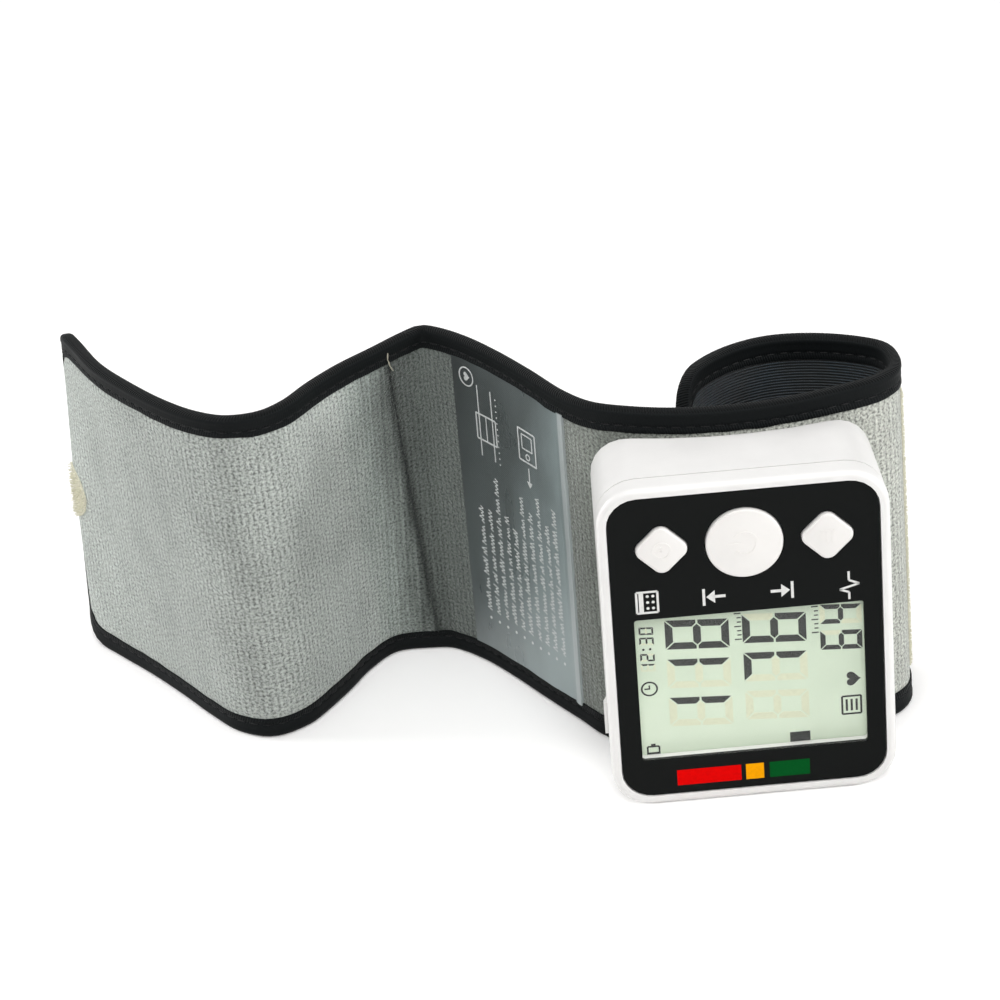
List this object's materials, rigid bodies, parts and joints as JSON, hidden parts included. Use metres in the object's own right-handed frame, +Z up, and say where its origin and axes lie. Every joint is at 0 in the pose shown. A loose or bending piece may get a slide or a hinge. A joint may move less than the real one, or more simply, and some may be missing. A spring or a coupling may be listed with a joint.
{
  "type": "wrist blood pressure monitor",
  "caption": "Wrist blood pressure monitor: a small upright case with display, push buttons and battery door, carried on a padded hook-and-loop cuff that lies partly open.",
  "frame": {"origin": "in the flat bottom face of the case, midway between its left and right walls; 15.3 mm behind the front rim", "axes": "+X to the right as the display is faced, +Y from the front panel to the back, +Z up"},
  "size_m": [0.1922, 0.1003, 0.085],
  "materials": {
    "case_white": "satin",
    "panel_black": "satin",
    "window_clear": "polished",
    "display_glass": "satin",
    "button_white": "satin",
    "board_green": "satin",
    "rubber_dark": "matte",
    "hose_soft": "matte",
    "steel": "satin",
    "cell_sleeve": "satin",
    "inner_plastic": "matte",
    "velour": "matte",
    "lining": "matte",
    "tape": "matte",
    "print": "matte",
    "hook": "matte"
  },
  "bodies": {
    "monitor": {"front_shell": "case_white", "front_panel": "panel_black", "display_window": "window_clear", "display_glass": "display_glass", "display_frame": "case_white", "contact_strip": "rubber_dark", "circuit_board": "board_green", "power_switch": "rubber_dark", "clock_switch": "rubber_dark", "memory_switch": "rubber_dark", "rear_shell": "case_white", "case_screw_1": "steel", "case_screw_2": "steel", "case_screw_3": "steel", "case_screw_4": "steel", "battery_1": "cell_sleeve", "battery_2": "cell_sleeve", "bridge_contact": "steel", "positive_contact": "steel", "negative_contact": "steel", "pump_motor": "steel", "pump_head": "inner_plastic", "release_valve": "inner_plastic", "pressure_sensor": "rubber_dark", "air_manifold": "inner_plastic", "pump_hose": "hose_soft", "valve_hose": "hose_soft", "loop_cover": "velour", "cuff_bow": "inner_plastic", "air_bladder": "rubber_dark", "loop_lining": "lining", "loop_binding_top": "tape", "loop_binding_bottom": "tape", "loop_binding_end": "tape", "loop_hook_strip": "hook", "cuff_nozzle": "hose_soft"},
    "power_button": {"power_button": "button_white"},
    "clock_button": {"clock_button": "button_white"},
    "memory_button": {"memory_button": "button_white"},
    "battery_door": {"battery_door": "case_white"},
    "cuff_print": {"print_cover": "velour", "print_lining": "lining", "print_binding_top": "tape", "print_binding_bottom": "tape", "print_panel": "print"},
    "cuff_tail": {"tail_cover": "velour", "tail_lining": "lining", "tail_binding_top": "tape", "tail_binding_bottom": "tape", "tail_binding_end": "tape", "hook_patch": "hook"}
  },
  "joints": [
    {"name": "power_button_press", "type": "slide", "parent": "monitor", "child": "power_button", "axis": [0, 1, 0], "range_m": [0, 0.0006], "stiffness_N_per_m": 900},
    {"name": "clock_button_press", "type": "slide", "parent": "monitor", "child": "clock_button", "axis": [0, 1, 0], "range_m": [0, 0.0006], "stiffness_N_per_m": 900},
    {"name": "memory_button_press", "type": "slide", "parent": "monitor", "child": "memory_button", "axis": [0, 1, 0], "range_m": [0, 0.0006], "stiffness_N_per_m": 900},
    {"name": "battery_door_swing", "type": "hinge", "parent": "monitor", "child": "battery_door", "pos_m": [-0.03144, 0, 0.0624], "axis": [0, 1, 0], "range_deg": [0, 35]},
    {"name": "cuff_root_fold", "type": "hinge", "parent": "monitor", "child": "cuff_print", "pos_m": [-0.0342, 0.024, 0], "axis": [0, 0, 1], "range_deg": [-35, 8]},
    {"name": "cuff_seam_fold", "type": "hinge", "parent": "cuff_print", "child": "cuff_tail", "pos_m": [-0.0688, 0.0615, 0], "axis": [0, 0, 1], "range_deg": [-75, 0]}
  ]
}
